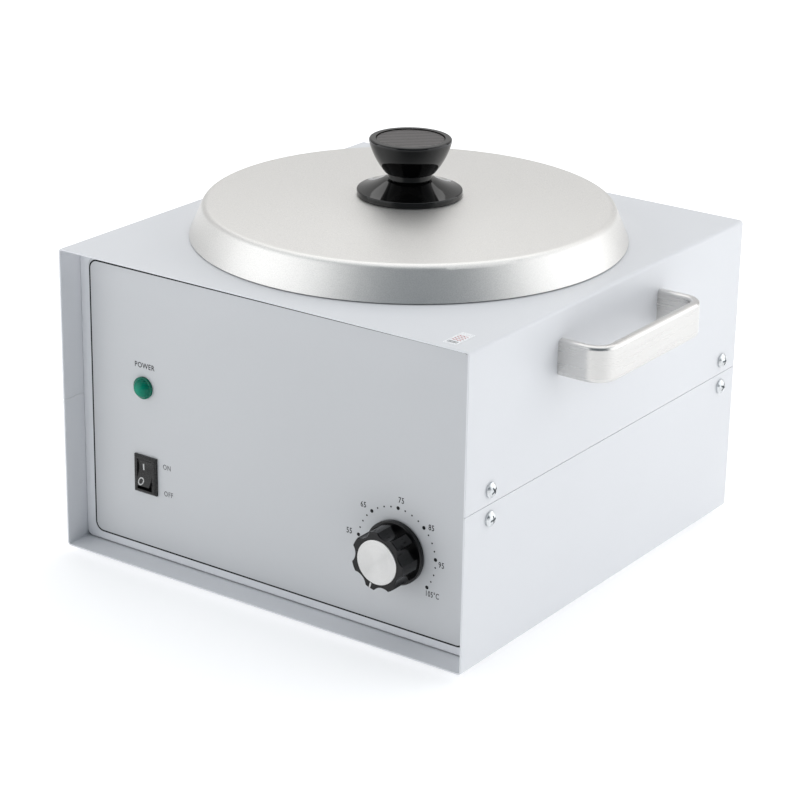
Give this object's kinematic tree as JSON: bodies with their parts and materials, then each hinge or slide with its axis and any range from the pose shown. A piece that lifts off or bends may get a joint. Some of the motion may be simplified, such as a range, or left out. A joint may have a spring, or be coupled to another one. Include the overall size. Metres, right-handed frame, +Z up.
{
  "type": "wax warmer pot",
  "caption": "Square sheet metal wax warmer with a heated round well, a lift-out pot with a folding bail, a shallow domed lid, and a front panel with a switch, a lamp and a dial.",
  "frame": {"origin": "on the surface that the feet stand on, straight below the centre of the case, which is also the axis of the well and the lid", "axes": "+X towards the user's right, out through the right side handle; the control panel faces -Y; +Z up"},
  "size_m": [0.309, 0.2662, 0.2224],
  "materials": {
    "case_paint": "white powder coat with a fine orange peel",
    "overlay_print": "light grey printed polycarbonate film",
    "label_print": "printed polyester sticker",
    "zinc": "bright zinc plate",
    "foot_rubber": "moulded rubber, dull",
    "handle_metal": "satin cast metal",
    "well_metal": "spun, fine turning lines",
    "pot_metal": "spun and bead blasted",
    "lid_metal": "spun and bead blasted, satin",
    "disc_plastic": "dark satin plastic with straight lines",
    "cap_metal": "spun, fine turning lines",
    "steel": "plain steel",
    "spring_steel": "blued spring steel",
    "heater_sheath": "dull steel sheath over mica",
    "glass_fibre": "glass fibre mat",
    "bakelite": "polished black bakelite",
    "knob_plastic": "fine black moulded plastic",
    "switch_plastic": "fine black moulded plastic",
    "cutout_plastic": "black phenolic",
    "thermostat_plastic": "brown phenolic",
    "lamp_green": "dark translucent green",
    "nylon": "natural nylon",
    "inlet_plastic": "fine black moulded plastic",
    "brass": "plain brass",
    "copper": "plain copper",
    "wood_grip": "turned hardwood, oiled",
    "wire_brown": "silicone sleeve",
    "wire_blue": "silicone sleeve",
    "wire_earth": "silicone sleeve"
  },
  "bodies": {
    "housing": {"upper_shell": "case_paint", "lower_shell": "case_paint", "front_panel": "case_paint", "back_panel": "case_paint", "shell_screws": "zinc", "front_overlay": "overlay_print", "top_label": "label_print", "rubber_feet": "foot_rubber", "foot_screws": "zinc", "foot_nuts": "zinc", "side_handle_right": "handle_metal", "side_handle_left": "handle_metal", "handle_screws": "zinc", "heater_well": "well_metal", "well_screws": "zinc", "band_heater": "heater_sheath", "clamp_bolt": "zinc", "clamp_nut": "zinc", "insulation_sleeve": "glass_fibre", "insulation_disc": "glass_fibre", "thermal_cutout": "cutout_plastic", "cutout_nuts": "zinc", "sensor_bulb": "copper", "bulb_clip": "spring_steel", "capillary_tube": "copper", "lamp_lens": "lamp_green", "lamp_body": "nylon", "lamp_clip": "spring_steel", "switch_frame": "switch_plastic", "switch_terminals": "brass", "thermostat_body": "thermostat_plastic", "thermostat_tabs": "brass", "bush_nut": "zinc", "power_inlet": "inlet_plastic", "inlet_pins": "brass", "inlet_screws": "zinc", "inlet_nuts": "zinc", "terminal_block": "nylon", "block_screws": "brass", "earth_stud": "zinc", "earth_washer": "zinc", "earth_nut": "zinc", "live_wires": "wire_brown", "neutral_wires": "wire_blue", "earth_wire": "wire_earth"},
    "pot": {"inner_pot": "pot_metal", "pot_lugs": "steel", "lug_rivets": "steel"},
    "lid": {"lid_shell": "lid_metal", "lid_knob": "bakelite", "lid_knob_disc": "disc_plastic", "lid_washer": "zinc", "lid_screw": "zinc"},
    "bail": {"bail_wire": "steel", "bail_grip": "wood_grip"},
    "knob": {"control_knob": "knob_plastic", "knob_insert": "brass", "knob_cap": "cap_metal", "thermostat_shaft": "steel"},
    "rocker": {"switch_rocker": "switch_plastic"}
  },
  "joints": [
    {"name": "pot_lift", "type": "slide", "parent": "housing", "child": "pot", "axis": [0, 0, 1], "range_m": [0, 0.16]},
    {"name": "lid_lift", "type": "slide", "parent": "pot", "child": "lid", "axis": [0, 0, 1], "range_m": [0, 0.25]},
    {"name": "bail_swing", "type": "hinge", "parent": "pot", "child": "bail", "pos_m": [0, 0, 0.1772], "axis": [1, 0, 0], "range_deg": [0, 90]},
    {"name": "knob_turn", "type": "hinge", "parent": "housing", "child": "knob", "pos_m": [0.0779, -0.117, 0.0504], "axis": [0, 1, 0], "range_deg": [0, 290.9]},
    {"name": "rocker_tilt", "type": "hinge", "parent": "housing", "child": "rocker", "pos_m": [-0.08335, -0.11275, 0.0504], "axis": [1, 0, 0], "range_deg": [0, 20]}
  ],
  "couplings": [
    {"joint": "bail_swing", "follows": "lid_lift", "rad_per_m": 6.2832}
  ]
}
